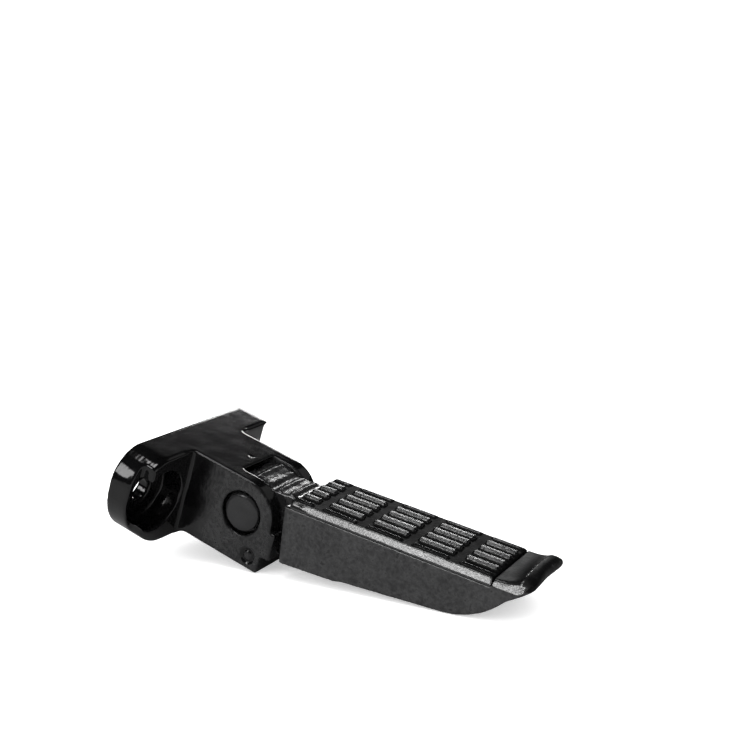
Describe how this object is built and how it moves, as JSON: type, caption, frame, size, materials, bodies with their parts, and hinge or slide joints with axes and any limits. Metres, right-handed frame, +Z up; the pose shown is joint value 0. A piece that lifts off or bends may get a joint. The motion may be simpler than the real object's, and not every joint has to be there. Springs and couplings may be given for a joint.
{
  "type": "folding motorcycle foot peg",
  "caption": "Folding motorcycle passenger foot peg: cast bracket with two bolt holes and two ears, and a cast peg with a barred tread that swings up on a headed pin.",
  "frame": {"origin": "midway between the two bolt holes, on the mounting face", "axes": "+X outwards from the mounting face along the arm and peg, +Z up towards the tread, Y along the pivot pin and the line of the bolt holes"},
  "size_m": [0.1511, 0.0762, 0.0541],
  "materials": {
    "bracket": "gloss black paint on a casting",
    "peg": "satin black paint on a casting",
    "tread": "moulded rubber",
    "pin": "blackened steel",
    "hardware": "zinc plated",
    "bush": "sintered bronze"
  },
  "bodies": {
    "bracket": {"bracket": "bracket", "pivot_pin": "pin", "pin_washer": "hardware", "pin_clip": "hardware", "detent_spring": "hardware"},
    "peg": {"peg_body": "peg", "pivot_bush": "bush", "thrust_washer": "hardware", "wave_washer": "hardware", "tread_pad": "tread", "pad_plate": "hardware", "pad_washers": "hardware", "pad_nuts": "hardware"},
    "detent_ball": {"detent_ball": "hardware"}
  },
  "joints": [
    {"name": "peg_fold", "type": "hinge", "parent": "bracket", "child": "peg", "pos_m": [0.0404, 0.0013, 0.0038], "axis": [0, -1, 0], "range_deg": [0, 55]},
    {"name": "ball_slide", "type": "slide", "parent": "bracket", "child": "detent_ball", "axis": [1, 0, 0], "range_m": [0, 0.0006], "stiffness_N_per_m": 4000, "springref_m": 0.0006}
  ]
}
